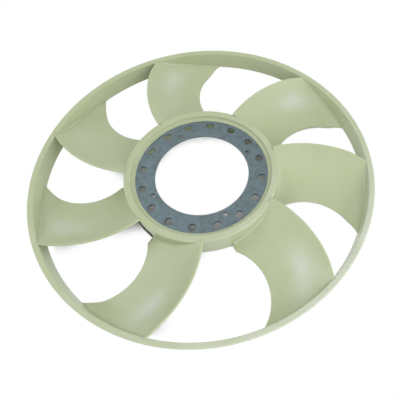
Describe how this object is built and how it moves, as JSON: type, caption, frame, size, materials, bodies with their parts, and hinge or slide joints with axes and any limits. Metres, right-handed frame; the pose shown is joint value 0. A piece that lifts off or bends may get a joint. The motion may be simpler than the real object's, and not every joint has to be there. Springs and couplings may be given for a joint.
{
  "type": "axial fan impeller",
  "caption": "Axial cooling fan impeller with swept blades, an outer rim and a drilled steel mounting ring moulded into its hub.",
  "frame": {"origin": "on the fan axis, in the plane of the hub's rear edge, on which the fan lies", "axes": "+Z along the fan axis towards its front face; +X through one of the four small holes"},
  "size_m": [0.4296, 0.4296, 0.0358],
  "materials": {
    "natural_nylon": "moulded natural nylon, pale green, satin",
    "plated_steel": "dull blue-grey phosphate or zinc plating",
    "spring_steel": "dark oiled spring steel"
  },
  "bodies": {
    "root": {"impeller": "natural_nylon", "mounting_ring": "plated_steel", "balance_clip": "spring_steel"}
  },
  "joints": []
}
